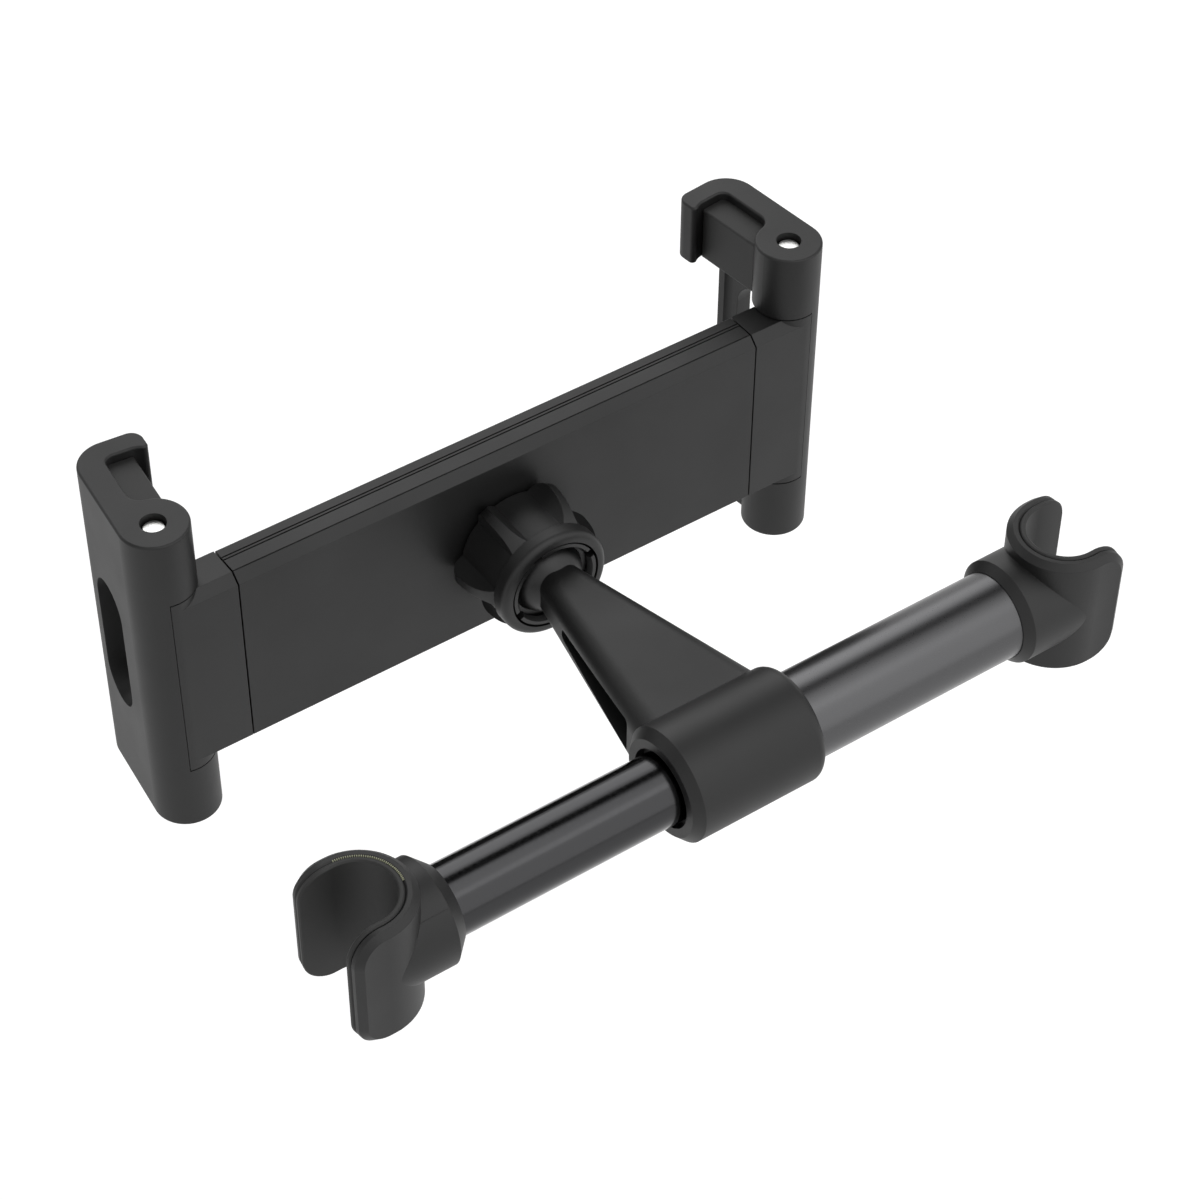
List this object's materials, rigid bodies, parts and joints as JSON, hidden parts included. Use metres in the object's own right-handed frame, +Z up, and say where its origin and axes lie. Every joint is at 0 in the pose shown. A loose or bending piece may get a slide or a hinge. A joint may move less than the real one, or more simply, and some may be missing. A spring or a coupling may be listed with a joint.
{
  "type": "headrest tablet mount",
  "caption": "Tablet holder that grips the two posts of a car headrest: a sprung telescopic rod with a hook at each end, an arm, a lockable ball joint and a sprung cradle.",
  "frame": {"origin": "on the axis of the telescopic rod, in the middle plane of the support arm", "axes": "+X along the rod towards the fixed hook, +Y from the rod towards the tablet, +Z up along the headrest posts"},
  "size_m": [0.1853, 0.1219, 0.0794],
  "materials": {
    "arm_plastic": "fine-grained black nylon moulding",
    "hook_plastic": "fine-grained black nylon moulding",
    "tube_finish": "drawn tube, satin black anodised",
    "socket_plastic": "smooth black acetal moulding",
    "nut_plastic": "fine-grained black moulding",
    "cradle_plastic": "fine-grained black moulding",
    "wing_plastic": "fine-grained black moulding",
    "liner_rubber": "matt black moulded rubber",
    "pad_rubber": "matt black moulded rubber",
    "nylon": "natural white nylon",
    "screw_steel": "zinc-plated steel",
    "pin_steel": "bright ground steel",
    "spring_steel": "bright spring wire"
  },
  "bodies": {
    "support": {"support_arm": "arm_plastic", "sleeve_screw": "screw_steel", "outer_tube": "tube_finish", "tube_bush": "nylon", "rod_spring": "spring_steel", "ball_stud": "socket_plastic", "right_tube_plug": "nylon", "right_hook": "hook_plastic", "right_hook_liner": "liner_rubber", "right_hook_screw": "screw_steel"},
    "sliding_rod": {"inner_tube": "tube_finish", "rod_stop": "nylon", "left_tube_plug": "nylon", "left_hook": "hook_plastic", "left_hook_liner": "liner_rubber", "left_hook_screw": "screw_steel"},
    "tilt_cup": {"friction_cup": "nylon"},
    "swivel_ring": {"friction_ring": "nylon"},
    "cradle": {"ball_socket": "socket_plastic", "socket_screws": "screw_steel", "rear_cover": "cradle_plastic", "front_cover": "cradle_plastic", "cover_screws": "screw_steel", "front_pad": "pad_rubber", "left_return_spring": "spring_steel", "right_return_spring": "spring_steel"},
    "lock_nut": {"lock_nut": "nut_plastic"},
    "pinion": {"pinion": "nylon"},
    "left_bracket": {"left_bracket": "cradle_plastic"},
    "right_bracket": {"right_bracket": "cradle_plastic"},
    "left_wing": {"left_wing": "wing_plastic", "left_hinge_pin": "pin_steel", "left_upper_pad": "pad_rubber", "left_lower_pad": "pad_rubber"},
    "right_wing": {"right_wing": "wing_plastic", "right_hinge_pin": "pin_steel", "right_upper_pad": "pad_rubber", "right_lower_pad": "pad_rubber"}
  },
  "joints": [
    {"name": "rod_extend", "type": "slide", "parent": "support", "child": "sliding_rod", "axis": [1, 0, 0], "range_m": [0, 0.044], "stiffness_N_per_m": 150, "springref_m": -0.03, "deforming": ["rod_spring"]},
    {"name": "tilt", "type": "hinge", "parent": "support", "child": "tilt_cup", "pos_m": [0, 0.0635, 0], "axis": [1, 0, 0], "range_deg": [-18, 18]},
    {"name": "swivel", "type": "hinge", "parent": "tilt_cup", "child": "swivel_ring", "pos_m": [0, 0.0635, 0], "axis": [0, 0, 1], "range_deg": [-18, 18]},
    {"name": "roll", "type": "hinge", "parent": "swivel_ring", "child": "cradle", "pos_m": [0, 0.0635, 0], "axis": [0, 1, 0], "continuous": true},
    {"name": "nut_turn", "type": "hinge", "parent": "cradle", "child": "lock_nut", "pos_m": [0, 0.0635, 0], "axis": [0, 1, 0], "range_deg": [0, 360]},
    {"name": "left_slide", "type": "slide", "parent": "cradle", "child": "left_bracket", "axis": [-1, 0, 0], "range_m": [0, 0.038], "stiffness_N_per_m": 40, "springref_m": -0.03, "deforming": ["left_return_spring"]},
    {"name": "right_slide", "type": "slide", "parent": "cradle", "child": "right_bracket", "axis": [1, 0, 0], "range_m": [0, 0.038], "stiffness_N_per_m": 40, "springref_m": -0.03, "deforming": ["right_return_spring"]},
    {"name": "pinion_turn", "type": "hinge", "parent": "cradle", "child": "pinion", "pos_m": [0, 0.081, 0], "axis": [0, 1, 0], "range_deg": [-484, 0]},
    {"name": "left_fold", "type": "hinge", "parent": "left_bracket", "child": "left_wing", "pos_m": [-0.077, 0.08275, 0], "axis": [0, 0, 1], "range_deg": [-80, 0]},
    {"name": "right_fold", "type": "hinge", "parent": "right_bracket", "child": "right_wing", "pos_m": [0.077, 0.08275, 0], "axis": [0, 0, 1], "range_deg": [0, 80]}
  ],
  "couplings": [
    {"joint": "right_slide", "follows": "left_slide", "ratio": 1},
    {"joint": "pinion_turn", "follows": "left_slide", "rad_per_m": -222.22}
  ]
}
